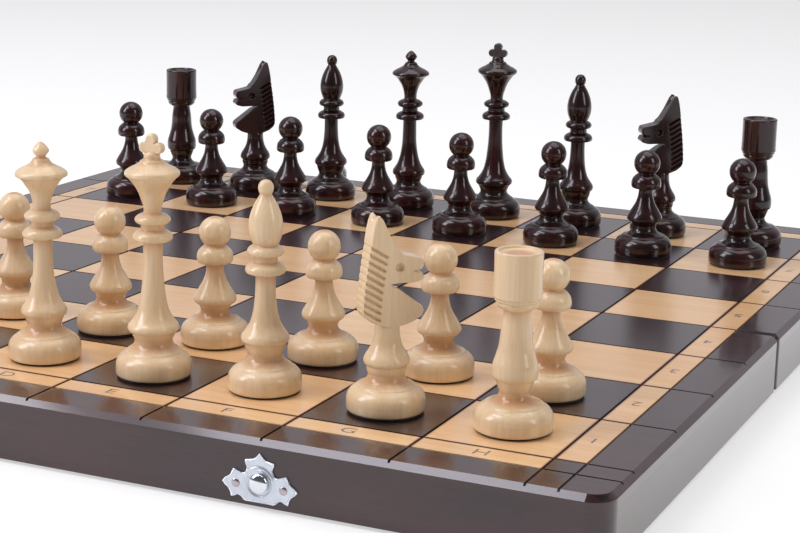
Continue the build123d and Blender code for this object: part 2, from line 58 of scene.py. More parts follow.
# ------------------------------------------------------------------ camera
# A long lens a little over a metre away, in front of the white men and to the right,
# looking down across the board. It is held a touch off level.
table_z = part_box("near_hinge_leaves")[0][2]
play_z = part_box("near_top_board")[1][2]
heading, dip, tilt = math.radians(24.228), math.radians(13.339), math.radians(1.2417)
ahead = Vector((-math.sin(heading) * math.cos(dip), math.cos(heading) * math.cos(dip), -math.sin(dip)))
level = Vector((math.cos(heading), math.sin(heading), 0))
over = level.cross(ahead)
across = level * math.cos(tilt) + over * math.sin(tilt)
upward = over * math.cos(tilt) - level * math.sin(tilt)
camera_data = bpy.data.cameras.new("camera")
camera_data.lens = 86.09
camera_data.sensor_width = 36.0
camera_data.clip_end = 50
camera = bpy.data.objects.new("camera", camera_data)
bpy.context.collection.objects.link(camera)
camera.matrix_world = Matrix((across, upward, -ahead)).transposed().to_4x4()
camera.location = (0.44183, -0.86271, play_z + 0.23457)
bpy.context.scene.camera = camera
bpy.context.scene.view_settings.view_transform = "Standard"


# ------------------------------------------------------------------ studio
# A dim room, paler behind the board, with one tall softbox to the left, one to the
# right, a wide soft panel overhead and a strip ahead of it. The floor is an opal sheet lit from below.
def colour(code):
    """sRGB hex to linear red, green, blue, alpha: c/12.92 below 0.04, else ((c+0.055)/1.055)^2.4."""
    c = np.array([int(code[i:i + 2], 16) / 255 for i in (1, 3, 5)])
    c = np.where(c <= 0.04045, c / 12.92, ((c + 0.055) / 1.055) ** 2.4)
    return (*c.tolist(), 1.0)


def add(tree, kind, links=None, **settings):
    """Adds one node. settings are its properties; links gives inputs, a socket or a value."""
    made = tree.nodes.new(kind)
    for key, value in settings.items():
        setattr(made, key, value)
    for key, value in (links or {}).items():
        if isinstance(value, bpy.types.NodeSocket):
            tree.links.new(value, made.inputs[key])
        else:
            made.inputs[key].default_value = value
    return made


def new_material(name):
    """An empty node material and its tree, with only the output in it."""
    material = bpy.data.materials.new(name)
    material.use_nodes = True
    material.node_tree.nodes.clear()
    return material, material.node_tree


def finish_material(tree, shader):
    """Leads the finished shader to the material's output."""
    add(tree, "ShaderNodeOutputMaterial", {"Surface": shader.outputs[0]})


def mesh_object(name, points, faces, materials, face_slots=None):
    """A smooth-shaded mesh of these points and quads or triangles, in place, at the origin."""
    mesh = bpy.data.meshes.new(name)
    mesh.from_pydata(points.tolist(), [], list(faces))
    for material in materials:
        mesh.materials.append(material)
    if face_slots is not None:
        mesh.polygons.foreach_set("material_index", np.asarray(face_slots, dtype=np.int32))
    mesh.polygons.foreach_set("use_smooth", np.ones(len(mesh.polygons), dtype=bool))
    mesh.update()
    made = bpy.data.objects.new(name, mesh)
    bpy.context.collection.objects.link(made)
    return made


card, tree = new_material("opal acrylic sheet, lit from below")
grit = add(tree, "ShaderNodeTexNoise", {"Scale": 900.0, "Detail": 3.0})
grit_bump = add(tree, "ShaderNodeBump", {"Height": grit.outputs[0], "Strength": 0.05, "Distance": 0.0003})
finish_material(tree, add(tree, "ShaderNodeBsdfPrincipled", {
    "Base Color": colour("#b8b8b8"), "Roughness": 0.9, "Normal": grit_bump.outputs[0],
    "Emission Color": (1.0, 1.0, 1.0, 1.0), "Emission Strength": 0.55}))
FLOOR_GAP = 0.0002
reach = np.array([[-6, -6], [6, -6], [6, 6], [-6, 6]])
floor_z = np.full(4, table_z - FLOOR_GAP)
floor = mesh_object("floor", np.column_stack([reach, floor_z]), [(0, 1, 2, 3)], [card])

world = bpy.data.worlds.new("studio")
bpy.context.scene.world = world
world.use_nodes = True
tree = world.node_tree
tree.nodes.clear()
direction = add(tree, "ShaderNodeTexCoord")
towards = (-math.sin(heading), math.cos(heading), 0.1)
behind = add(tree, "ShaderNodeVectorMath", {0: direction.outputs["Generated"], 1: towards},
             operation="DOT_PRODUCT")
sweep = add(tree, "ShaderNodeMapRange", {
    "Value": behind.outputs["Value"], "From Min": -0.15, "From Max": 0.55, "To Min": 0.1, "To Max": 0.5},
    interpolation_type="SMOOTHSTEP")
sky = add(tree, "ShaderNodeBackground", {"Color": colour("#f6f4fb"), "Strength": sweep.outputs[0]})
add(tree, "ShaderNodeOutputWorld", {"Surface": sky.outputs[0]})


def softbox(name, place, target, width, height, power, tint):
    """A rectangular area light that faces target."""
    light = bpy.data.lights.new(name, "AREA")
    light.shape = "RECTANGLE"
    light.size, light.size_y = width, height
    light.energy = power
    light.color = colour(tint)[:3]
    lamp = bpy.data.objects.new(name, light)
    bpy.context.collection.objects.link(lamp)
    lamp.location = place
    lamp.rotation_euler = (Vector(target) - Vector(place)).to_track_quat("-Z", "Y").to_euler()


softbox("left_softbox", (-1.15, -1.0, 0.95), (0, 0, 0.05), 0.55, 1.1, 16.0, "#fbf8ff")
softbox("right_softbox", (1.75, -0.35, 0.9), (0, 0, 0.05), 0.45, 1.1, 8.0, "#fffaf4")
softbox("overhead_panel", (0.1, 0.3, 1.9), (0, 0, 0), 1.8, 1.4, 15.0, "#ffffff")
softbox("overhead_strip", (-0.8, -0.75, 1.9), (0, -0.2, 0), 1.2, 0.5, 14.0, "#f6f4ff")


# ------------------------------------------------------------------ the box: dark wood
# Walls and playing boards are beech stained plum-brown and lacquered semi-gloss. The
# boards cover the walls to their edges, and the sawn lines round every square are
# carried out over the border and its bevel; inside the bevel their bottoms carry painted shade. Short pores
# show through the stain.
BORDER_NODES = ["near_top_board", "far_top_board", "near_left_rail", "near_right_rail",
                "far_left_rail", "far_right_rail", "near_front_rail", "far_back_rail",
                "near_spine_rail", "far_spine_rail"]
BEVEL = 0.0024


def shade_in_saw_cuts(tree, place, surface):
    """Painted shade: darkens what lies 0.3 to 1.7 mm below the playing face, |z - middle| < 0.7 mm, and
    inside the bevel, max(|x|, |y|) < half the board less the bevel, which is the bottoms of the sawn lines."""
    axes = add(tree, "ShaderNodeSeparateXYZ", {0: place})
    below = add(tree, "ShaderNodeMath", {0: axes.outputs[2], 1: play_z - 0.001, 2: 0.0007},
                operation="COMPARE")
    sides = add(tree, "ShaderNodeVectorMath", {0: place}, operation="ABSOLUTE")
    sides = add(tree, "ShaderNodeSeparateXYZ", {0: sides.outputs[0]})
    widest = add(tree, "ShaderNodeMath", {0: sides.outputs[0], 1: sides.outputs[1]}, operation="MAXIMUM")
    inside = add(tree, "ShaderNodeMath", {0: widest.outputs[0], 1: cad_box[1][0] - BEVEL},
                 operation="LESS_THAN")
    cut = add(tree, "ShaderNodeMath", {0: below.outputs[0], 1: inside.outputs[0]}, operation="MULTIPLY")
    # Painted shade: the bottoms of the saw cuts are painted near black.
    darker = add(tree, "ShaderNodeMix", {"Factor": cut.outputs[0], "A": surface, "B": colour("#120607")},
                 data_type="RGBA")
    return darker.outputs["Result"]


def beech(name, light, dark, along, sheen, scored=False):
    """Stained beech. Pores are noise drawn out along the grain: 9 mm long, 0.5 mm wide; the
    stain drifts over about 60 mm. Where scored, the bottoms of the saw cuts get painted shade."""
    material, tree = new_material(name)
    place = add(tree, "ShaderNodeTexCoord").outputs["Object"]
    stretch = (110.0, 2000.0, 2000.0) if along == "x" else (2000.0, 110.0, 2000.0)
    drawn = add(tree, "ShaderNodeMapping", {"Vector": place, "Scale": stretch})
    pores = add(tree, "ShaderNodeTexNoise", {"Vector": drawn.outputs[0], "Scale": 1.0, "Detail": 3.0})
    wide = tuple(value / 14 for value in stretch)
    bands = add(tree, "ShaderNodeMapping", {"Vector": place, "Scale": wide})
    figure = add(tree, "ShaderNodeTexNoise", {"Vector": bands.outputs[0], "Scale": 1.0, "Detail": 2.0})
    drift = add(tree, "ShaderNodeTexNoise", {"Vector": place, "Scale": 16.0, "Detail": 2.0})
    tone = add(tree, "ShaderNodeMath", {0: figure.outputs[0], 1: drift.outputs[0]}, operation="ADD")
    tone = add(tree, "ShaderNodeMath", {0: tone.outputs[0], 1: 0.5}, operation="MULTIPLY")
    stain = add(tree, "ShaderNodeValToRGB", {"Fac": tone.outputs[0]})
    stain.color_ramp.elements[0].position = 0.36
    stain.color_ramp.elements[0].color = colour(dark)
    stain.color_ramp.elements[1].position = 0.64
    stain.color_ramp.elements[1].color = colour(light)
    pit = add(tree, "ShaderNodeMapRange", {"Value": pores.outputs[0], "From Min": 0.36, "From Max": 0.46,
                                           "To Min": 0.62, "To Max": 1.0})
    shade = add(tree, "ShaderNodeMix", {"Factor": 1.0, "A": stain.outputs[0], "B": pit.outputs[0]},
                data_type="RGBA", blend_type="MULTIPLY")
    surface = shade.outputs["Result"]
    if scored:
        surface = shade_in_saw_cuts(tree, place, surface)
    relief = add(tree, "ShaderNodeBump", {"Height": pores.outputs[0], "Strength": 0.25,
                                          "Distance": 0.00006})
    rough = add(tree, "ShaderNodeMapRange", {"Value": drift.outputs[0], "To Min": sheen - 0.04,
                                             "To Max": sheen + 0.06})
    finish_material(tree, add(tree, "ShaderNodeBsdfPrincipled", {
        "Base Color": surface, "Roughness": rough.outputs[0], "Normal": relief.outputs[0],
        "Coat Weight": 1.0, "Coat Roughness": 0.1, "Coat IOR": 1.5, "Specular IOR Level": 0.3}))
    return material


def clothe(node, material):
    """Gives a carried-over CAD node its material."""
    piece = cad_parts[node]
    if not piece.material_slots:
        piece.data.materials.append(material)
    for slot in piece.material_slots:
        slot.material = material


rail_wood = beech("stained beech, lacquered, grain across", "#3c1a20", "#220d10", "x", 0.34)
side_wood = beech("stained beech, lacquered, grain deep", "#3c1a20", "#220d10", "y", 0.34)
top_wood = beech("stained beech veneer, lacquered", "#401c1e", "#240e0f", "x", 0.3, scored=True)
for node in BORDER_NODES:
    if "top" in node:
        clothe(node, top_wood)
    else:
        clothe(node, side_wood if "left" in node or "right" in node else rail_wood)


# ------------------------------------------------------------------ the inlay
# Squares and label strips are veneers 1.5 mm thick, pale maple and stained beech, cut
# a groove's width apart and lacquered over with the rest. Stain has crept 0.8 mm into the
# edges of the pale ones, and each piece of veneer has its own tone.
GROOVE = 0.0011
SQUARE = (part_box("near_light_squares")[1][0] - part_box("near_light_squares")[0][0] + GROOVE) / 8


def veneer(name, light, dark, pore, edge, sheen):
    """Veneer cut into squares. Tone comes from the square's own column and row; distance
    to the nearest line is the triangle wave of X and of Y, half a square high."""
    material, tree = new_material(name)
    place = add(tree, "ShaderNodeTexCoord").outputs["Object"]
    drawn = add(tree, "ShaderNodeMapping", {"Vector": place, "Scale": (70.0, 1300.0, 1300.0)})
    pores = add(tree, "ShaderNodeTexNoise", {"Vector": drawn.outputs[0], "Scale": 1.0, "Detail": 3.0})
    broad = add(tree, "ShaderNodeMapping", {"Vector": place, "Scale": (7.0, 160.0, 160.0)})
    figure = add(tree, "ShaderNodeTexNoise", {"Vector": broad.outputs[0], "Scale": 1.0, "Detail": 2.0,
                                              "Distortion": 0.6})
    cell = add(tree, "ShaderNodeVectorMath", {0: place, 1: (1 / SQUARE, 1 / SQUARE, 0)},
               operation="MULTIPLY")
    cell = add(tree, "ShaderNodeVectorMath", {0: cell.outputs[0]}, operation="FLOOR")
    own = add(tree, "ShaderNodeTexWhiteNoise", {"Vector": cell.outputs[0]})
    tone = add(tree, "ShaderNodeMath", {0: own.outputs[0], 1: 0.42, 2: figure.outputs[0]},
               operation="MULTIPLY_ADD")
    stain = add(tree, "ShaderNodeMapRange", {"Value": tone.outputs[0], "From Min": 0.38, "From Max": 1.05})
    body = add(tree, "ShaderNodeMix", {"Factor": stain.outputs[0], "A": colour(dark), "B": colour(light)},
               data_type="RGBA")
    fleck = add(tree, "ShaderNodeMapRange", {"Value": pores.outputs[0], "From Min": 0.32, "From Max": 0.5,
                                             "To Min": 0.3, "To Max": 0.0})
    body = add(tree, "ShaderNodeMix", {
        "Factor": fleck.outputs[0], "A": body.outputs["Result"], "B": colour(pore)}, data_type="RGBA")
    axes = add(tree, "ShaderNodeSeparateXYZ", {0: place})
    near = [add(tree, "ShaderNodeMath", {0: axes.outputs[i], 1: SQUARE / 2}, operation="PINGPONG").outputs[0]
            for i in (0, 1)]
    nearest = add(tree, "ShaderNodeMath", {0: near[0], 1: near[1]}, operation="MINIMUM")
    crept = add(tree, "ShaderNodeMapRange", {
        "Value": nearest.outputs[0], "From Min": GROOVE / 2, "From Max": 0.0014,
        "To Min": 0.85, "To Max": 0.0})
    body = add(tree, "ShaderNodeMix", {
        "Factor": crept.outputs[0], "A": body.outputs["Result"], "B": colour(edge)}, data_type="RGBA")
    relief = add(tree, "ShaderNodeBump", {"Height": pores.outputs[0], "Strength": 0.2, "Distance": 0.00005})
    finish_material(tree, add(tree, "ShaderNodeBsdfPrincipled", {
        "Base Color": body.outputs["Result"], "Roughness": sheen, "Normal": relief.outputs[0],
        "Coat Weight": 1.0, "Coat Roughness": 0.2, "Coat IOR": 1.5, "Specular IOR Level": 0.3}))
    return material


maple_veneer = veneer("maple veneer under satin lacquer", "#f3cb9a", "#e6b682", "#cf9862", "#5e2416", 0.35)
beech_veneer = veneer("stained beech veneer under satin lacquer", "#3a1a1f", "#230f12", "#160809", "#160606",
                      0.3)
for half in ("near", "far"):
    clothe(f"{half}_light_squares", maple_veneer)
    clothe(f"{half}_label_strips", maple_veneer)
    clothe(f"{half}_dark_squares", beech_veneer)


# ------------------------------------------------------------------ letters and figures
# One stamped letter or figure stands near the middle of each length of strip, in wide
# thin brown-grey ink. Each side's own letters and figures read upright from that side.
INK_H = 0.0058
INK_STRETCH = 1.2
INK_T = 0.00002
CAPITAL_SHARE = 0.7  # height of a capital in type of size 1
STROKE_THINNING = 0.00003
NUDGE = {"D": -0.0004, "E": -0.0026, "F": -0.0021, "G": -0.0017}  # given along the near strip


def ink_material():
    """Printing ink under the lacquer: thin, so its tone is finely speckled."""
    material, tree = new_material("brown-grey printing ink")
    speck = add(tree, "ShaderNodeTexNoise", {"Scale": 2600.0, "Detail": 2.0})
    fade = add(tree, "ShaderNodeMix", {
        "Factor": speck.outputs[0], "A": colour("#544c48"), "B": colour("#6b625c")}, data_type="RGBA")
    finish_material(tree, add(tree, "ShaderNodeBsdfPrincipled", {
        "Base Color": fade.outputs["Result"], "Roughness": 0.35, "Coat Weight": 1.0, "Coat Roughness": 0.1}))
    return material


def lettering(name, marks, turn, material):
    """Marks are (character, x, y). Each is outlined as text, flattened to a mesh at its
    place, turned so that it reads from its own side, and all are joined in one piece."""
    points, faces = [], []
    for mark, x, y in marks:
        text = bpy.data.curves.new(mark, "FONT")
        text.body = mark
        text.align_x = "CENTER"
        text.align_y = "CENTER"
        text.size = INK_H / CAPITAL_SHARE
        text.offset = -STROKE_THINNING
        text.extrude = INK_T
        text.resolution_u = 6
        holder = bpy.data.objects.new(mark, text)
        bpy.context.collection.objects.link(holder)
        flat = bpy.data.meshes.new_from_object(holder.evaluated_get(bpy.context.evaluated_depsgraph_get()))
        corner = np.empty(len(flat.vertices) * 3)
        flat.vertices.foreach_get("co", corner)
        corner = corner.reshape(-1, 3) * (INK_STRETCH, 1, 1)
        spin = np.array([[math.cos(turn), -math.sin(turn)], [math.sin(turn), math.cos(turn)]])
        corner[:, :2] = corner[:, :2] @ spin.T + (x, y)
        corner[:, 2] += play_z + INK_T
        start = sum(len(group) for group in points)
        faces += [[start + v for v in polygon.vertices] for polygon in flat.polygons]
        points.append(corner)
        bpy.data.objects.remove(holder)
        bpy.data.meshes.remove(flat)
    piece = mesh_object(name, np.vstack(points), faces, [material])
    piece.data.polygons.foreach_set("use_smooth", np.zeros(len(piece.data.polygons), dtype=bool))
    return piece


ink = ink_material()
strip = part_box("near_label_strips")
strip_mid = (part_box("near_light_squares")[1][0] + strip[1][0] + GROOVE) / 2
files = [("ABCDEFGH"[i], (i - 3.5) * SQUARE) for i in range(8)]
ranks = [("12345678"[i], (i - 3.5) * SQUARE) for i in range(8)]
for half, sign, own, turn in (("near", -1, ranks[:4], 0.0), ("far", 1, ranks[4:], math.pi)):
    shift = NUDGE if half == "near" else {}
    letters = [(mark, x + shift.get(mark, 0), sign * strip_mid) for mark, x in files]
    left = [(mark, -strip_mid, y) for mark, y in own]
    right = [(mark, strip_mid, y) for mark, y in own]
    for name, marks, way in ((f"{half}_letters", letters, turn), (f"{half}_left_figures", left, 0.0),
                             (f"{half}_right_figures", right, math.pi)):
        piece = lettering(name, marks, way, ink)
        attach(piece, f"{half}_half")


# ------------------------------------------------------------------ pale men
# Turned in a lathe from pale maple and dipped in satin lacquer. The hollows
# under the rings are painted amber, partly as lacquer gathered there and partly as painted shade.
# Pawns are the plain pattern: drum foot, skirt, tapering stem, one collar and a ball. Dark felt is glued
# underneath.
FELT_T = 0.7
TURNED_SIDES = 72


def turner_wood(name, light, dark, hollow, sheen, coat_rough):
    """Turned wood. Long grain is noise drawn out along Z: 1 mm wide, 22 mm long; lathe
    marks are rings 0.7 mm apart; the attribute hollow tints the narrow places with painted shade."""
    material, tree = new_material(name)
    place = add(tree, "ShaderNodeTexCoord").outputs["Object"]
    drawn = add(tree, "ShaderNodeMapping", {"Vector": place, "Scale": (900.0, 900.0, 45.0)})
    fibres = add(tree, "ShaderNodeTexNoise", {"Vector": drawn.outputs[0], "Scale": 1.0, "Detail": 3.0})
    broad = add(tree, "ShaderNodeMapping", {"Vector": place, "Scale": (120.0, 120.0, 14.0)})
    figure = add(tree, "ShaderNodeTexNoise", {"Vector": broad.outputs[0], "Scale": 1.0, "Detail": 2.0})
    tone = add(tree, "ShaderNodeMath", {0: fibres.outputs[0], 1: 0.6, 2: figure.outputs[0]},
               operation="MULTIPLY_ADD")
    stain = add(tree, "ShaderNodeMapRange", {"Value": tone.outputs[0], "From Min": 0.6, "From Max": 1.05})
    body = add(tree, "ShaderNodeMix", {"Factor": stain.outputs[0], "A": colour(dark), "B": colour(light)},
               data_type="RGBA")
    # Painted shade: the narrow places are mixed towards the hollow colour, shade under the rings along with
    # lacquer gathered there.
    deep = add(tree, "ShaderNodeAttribute", attribute_name="hollow")
    hollow_shade_and_lacquer = add(tree, "ShaderNodeMath", {0: deep.outputs["Fac"], 1: 0.75}, operation="MULTIPLY")
    body = add(tree, "ShaderNodeMix", {
        "Factor": hollow_shade_and_lacquer.outputs[0], "A": body.outputs["Result"], "B": colour(hollow)}, data_type="RGBA")
    rings = add(tree, "ShaderNodeTexWave", {
        "Vector": place, "Scale": 450.0, "Distortion": 1.5, "Detail": 1.0}, bands_direction="Z")
    height = add(tree, "ShaderNodeMath", {0: rings.outputs["Fac"], 1: 0.35, 2: fibres.outputs[0]},
                 operation="MULTIPLY_ADD")
    relief = add(tree, "ShaderNodeBump", {"Height": height.outputs[0], "Strength": 0.15, "Distance": 0.00004})
    finish_material(tree, add(tree, "ShaderNodeBsdfPrincipled", {
        "Base Color": body.outputs["Result"], "Roughness": sheen, "Normal": relief.outputs[0],
        "Coat Weight": 1.0, "Coat Roughness": coat_rough, "Coat IOR": 1.45, "Specular IOR Level": 0.15}))
    return material


def felt_material():
    """Wool felt: matt, with fibres 0.4 mm apart and a faint pale bloom at the edge."""
    material, tree = new_material("black-green wool felt")
    place = add(tree, "ShaderNodeTexCoord").outputs["Object"]
    fluff = add(tree, "ShaderNodeTexNoise", {"Vector": place, "Scale": 2500.0, "Detail": 4.0})
    body = add(tree, "ShaderNodeMix", {
        "Factor": fluff.outputs[0], "A": colour("#0e1511"), "B": colour("#26302a")}, data_type="RGBA")
    relief = add(tree, "ShaderNodeBump", {"Height": fluff.outputs[0], "Strength": 0.6, "Distance": 0.0002})
    finish_material(tree, add(tree, "ShaderNodeBsdfPrincipled", {
        "Base Color": body.outputs["Result"], "Roughness": 0.95, "Normal": relief.outputs[0],
        "Sheen Weight": 0.4}))
    return material


# The third colour, #c07d42, is painted amber shade in the hollows under the rings.
pale_wood = turner_wood("maple, turned, satin lacquer", "#ecd2ab", "#dfc096", "#c07d42", 0.38, 0.2)
felt = felt_material()


def flowing(points, step=0.35):
    """A curve through the points: on each span the cubic whose end directions are the two
    neighbouring chords' directions, each weighted by the other chord's length."""
    p = np.array(points, float)
    chord = np.linalg.norm(np.diff(p, axis=0), axis=1)
    pace = np.diff(p, axis=0) / chord[:, None]
    if len(p) > 2:
        inner = pace[:-1] * chord[1:, None] + pace[1:] * chord[:-1, None]
        inner /= (chord[:-1] + chord[1:])[:, None]
        slope = np.vstack([2 * pace[0] - inner[0], inner, 2 * pace[-1] - inner[-1]])
    else:
        slope = np.vstack([pace, pace])
    spans = []
    for a, b, m, n, d in zip(p[:-1], p[1:], slope[:-1], slope[1:], chord):
        t = np.linspace(0, 1, max(2, int(d / step)), endpoint=False)[:, None]
        spans.append(a * (1 + 2 * t) * (1 - t) ** 2 + m * d * t * (1 - t) ** 2
                     + b * t ** 2 * (3 - 2 * t) + n * d * t ** 2 * (t - 1))
    return np.vstack(spans + [p[-1:]])


def outline(*runs, soft=0.18):
    """Joins the runs end to end; each corner between two runs is eased by stopping the
    curve a little short of it on both sides."""
    eased = []
    for number, run in enumerate(runs):
        curve = flowing(run)
        if number:
            way = curve[1] - curve[0]
            curve[0] = curve[0] + way * min(0.45, soft / np.linalg.norm(way))
        if number < len(runs) - 1:
            way = curve[-2] - curve[-1]
            curve[-1] = curve[-1] + way * min(0.45, soft / np.linalg.norm(way))
        eased.append(curve)
    return np.vstack(eased)


# The section of a ring, as shares of its overhang and of its height: a collar is cut flat
# underneath, a plain ring is rounded, and both run out hollow at the top.
COLLAR = [(0.72, 0.02), (0.93, 0.10), (1.0, 0.26), (0.98, 0.44), (0.86, 0.62), (0.62, 0.77), (0.30, 0.90),
          (0, 1)]
RING = [(0, 0), (0.38, 0.04), (0.72, 0.12), (0.95, 0.27), (1.0, 0.42), (0.93, 0.59), (0.70, 0.76),
        (0.36, 0.90), (0, 1)]


def ring(section, r0, z0, radius, r1, z1):
    """The runs of a turned ring from (r0, z0) out to its full radius and in to (r1, z1):
    r = base + out (radius - base), base being r0 below 0.35 of the height and r1 above."""
    bases = [r0 if up < 0.35 else r1 for _, up in section]
    curve = [(base + out * (radius - base), z0 + up * (z1 - z0))
             for base, (out, up) in zip(bases, section)]
    return [[(r0, z0), curve[0]], curve] if curve[0][0] > r0 else [curve]


def foot(radius, neck, skirt, skirt_z):
    """The foot all men share, from the edge of the felt up to the edge of the skirt."""
    shoulder = 0.76 * radius
    return [
        [(0.0, FELT_T), (radius - 0.9, FELT_T)],
        [(radius - 0.9, FELT_T), (radius - 0.25, 1.2), (radius - 0.03, 2.4), (radius, 4.2),
         (radius - 0.12, 6.0), (0.955 * radius, 7.9), (0.88 * radius, 9.4), (shoulder, 10.6)],
        [(shoulder, 10.6), (shoulder - 0.5, 11.3)],
        [(shoulder - 0.5, 11.3), (neck + 2.4, 12.2), (neck + 0.55, 13.8), (neck, 16.0), (neck + 0.5, 17.3),
         (skirt - 1.3, skirt_z - 2.2)],
        [(skirt - 1.3, skirt_z - 2.2), (skirt - 0.35, skirt_z - 1.5), (skirt, skirt_z - 0.3)],
    ]


PAWN = outline(
    *foot(15.65, 6.5, 9.6, 21.0),
    [(9.6, 20.7), (9.45, 21.6), (8.9, 22.8), (7.5, 25.1), (6.15, 27.4), (5.05, 29.6), (4.35, 31.9),
     (3.95, 34.1), (3.8, 37.0)],
    *ring(COLLAR, 3.8, 37.0, 8.15, 4.445, 45.4),
    [(7.15 * math.sin(a), 51.0 - 7.15 * math.cos(a)) for a in np.linspace(0.671, math.pi, 16)],
)


def revolve(profile, sides, centre):
    """Carries (radius, height) in mm round an upright axis through centre: each row is
    (x + r cos a, y + r sin a, z + height). Rows of no radius close to one point."""
    a = np.arange(sides) * 2 * math.pi / sides
    rows = profile[(profile[:, 0] > 1e-6)] / 1000
    hoops = np.stack([rows[:, :1] * np.cos(a), rows[:, :1] * np.sin(a), np.repeat(rows[:, 1:], sides, 1)], 2)
    foot_point = (0, 0, profile[0, 1] / 1000)
    tip_point = (0, 0, profile[-1, 1] / 1000)
    points = np.vstack([hoops.reshape(-1, 3), [foot_point, tip_point]]) + np.array(centre)
    count = len(rows)
    i, j = np.meshgrid(np.arange(count - 1), np.arange(sides), indexing="ij")
    k = (j + 1) % sides
    quads = np.stack([i * sides + j, i * sides + k, (i + 1) * sides + k, (i + 1) * sides + j], 2)
    quads = quads.reshape(-1, 4)
    j = np.arange(sides)
    k = (j + 1) % sides
    under = np.column_stack([k, j, np.full(sides, count * sides)])
    last = (count - 1) * sides
    over = np.column_stack([last + j, last + k, np.full(sides, count * sides + 1)])
    return points, quads.tolist() + under.tolist() + over.tolist(), rows


def hollow_of(profile, reach=3.5):
    """How far each row lies inside the mean radius of its neighbours, weighted by
    exp(-(distance / reach)^2), as a share of 2.2 mm. It sets how much painted shade the row gets."""
    r, z = profile[:, 0], profile[:, 1]
    near = np.exp(-((z[:, None] - z[None, :]) / reach) ** 2)
    mean = (near * r[None, :]).sum(1) / near.sum(1)
    return np.clip((mean - r) / 2.2, 0, 1)


def set_attribute(piece, values):
    """Stores one number per point, read by the wood's material as hollow: its share of painted shade."""
    layer = piece.data.attributes.new("hollow", "FLOAT", "POINT")
    layer.data.foreach_set("value", np.asarray(values, dtype=np.float32))


def standing(node):
    """Where a man's axis meets its square, from its CAD box."""
    low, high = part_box(node)
    return ((low[0] + high[0]) / 2, (low[1] + high[1]) / 2, low[2])


FELT_FOOT = 15.75  # radius of the foot that this felt is cut for
FELT = np.array([(0, 0), (13.9, 0), (14.7, 0.08), (14.85, 0.35), (14.75, FELT_T), (0.0, FELT_T)])


def man_pieces(node, profile, wood, extra=()):
    """The turned wood, with any carved solids, and the felt as one piece riding on its man."""
    centre = standing(node)
    points, faces, rows = revolve(profile, TURNED_SIDES, centre)
    hollow = np.concatenate([np.repeat(hollow_of(rows * 1000), TURNED_SIDES), [0, 0]])
    marks = [0] * len(faces)
    felt_points, felt_faces, _ = revolve(FELT * (profile[:, 0].max() / FELT_FOOT, 1), TURNED_SIDES, centre)
    groups = [(felt_points, felt_faces, 1)]
    groups += [(solid + np.array(centre), sides, 0) for solid, sides in extra]
    for more_points, more_faces, slot_number in groups:
        start = len(points)
        points = np.vstack([points, more_points])
        faces += [[start + v for v in face] for face in more_faces]
        marks += [slot_number] * len(more_faces)
        hollow = np.concatenate([hollow, np.zeros(len(more_points))])
    piece = mesh_object(f"{node}_turned", points, faces, [wood, felt], marks)
    set_attribute(piece, hollow)
    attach(piece, node)
    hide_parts(node)
    return piece


for letter in "abcdefgh":
    man_pieces(f"white_pawn_{letter}", PAWN, pale_wood)

# Rooks: turned in one piece, with a heavy stem and a plain straight cup with a thin rim,
# hollowed a little at the top, and two fine lines scored under it.
ROOK = outline(
    *foot(15.95, 6.05, 9.1, 23.0),
    [(9.1, 22.7), (9.15, 24.2), (9.0, 26.5), (8.1, 29.6), (7.0, 33.4), (6.35, 38.0), (6.0, 43.0),
     (5.5, 46.5), (5.25, 48.9)],
    [(5.25, 48.9), (6.4, 49.2), (7.8, 50.2), (8.5, 51.5)],
    [(8.5, 51.5), (8.3, 52.0), (8.75, 52.4)],
    [(8.75, 52.4), (9.15, 53.1), (9.05, 53.5)],
    [(9.05, 53.5), (9.55, 54.0), (9.6, 54.8)],
    [(9.6, 54.8), (9.5, 63.0), (9.55, 71.3)],
    [(9.55, 71.3), (9.4, 71.9), (8.9, 72.2)],
    [(8.9, 72.2), (8.0, 72.15)],
    [(8.0, 72.15), (7.5, 71.3), (6.4, 71.05), (3.0, 71.0), (0.0, 71.0)],
)
for letter in "ah":
    man_pieces(f"white_rook_{letter}", ROOK, pale_wood)

# Bishops: turned in one piece, with two rings round the neck, a long oval body and a
# small ball on top.
BISHOP = outline(
    *foot(15.5, 7.35, 10.1, 23.0),
    [(10.1, 22.7), (9.8, 23.8), (8.4, 25.9), (6.8, 28.4), (5.8, 31.0), (4.9, 35.2), (4.45, 39.4),
     (4.2, 43.7), (4.15, 49.9)],
    *ring(COLLAR, 4.15, 49.9, 8.35, 4.9, 54.9),
    [(4.9, 54.9), (4.9, 57.3)],
    *ring(RING, 4.9, 57.3, 7.6, 5.1, 61.9),
    [(5.1, 61.9), (6.0, 63.9), (6.75, 66.2), (7.1, 69.0), (6.6, 73.6), (5.45, 77.2), (4.5, 79.3),
     (3.25, 81.4), (2.4, 82.9)],
    [(2.4, 82.9), (3.0, 84.2), (3.2, 85.7), (2.75, 87.3), (1.5, 88.6), (0.0, 88.9)],
)
for letter in "cf":
    man_pieces(f"white_bishop_{letter}", BISHOP, pale_wood)

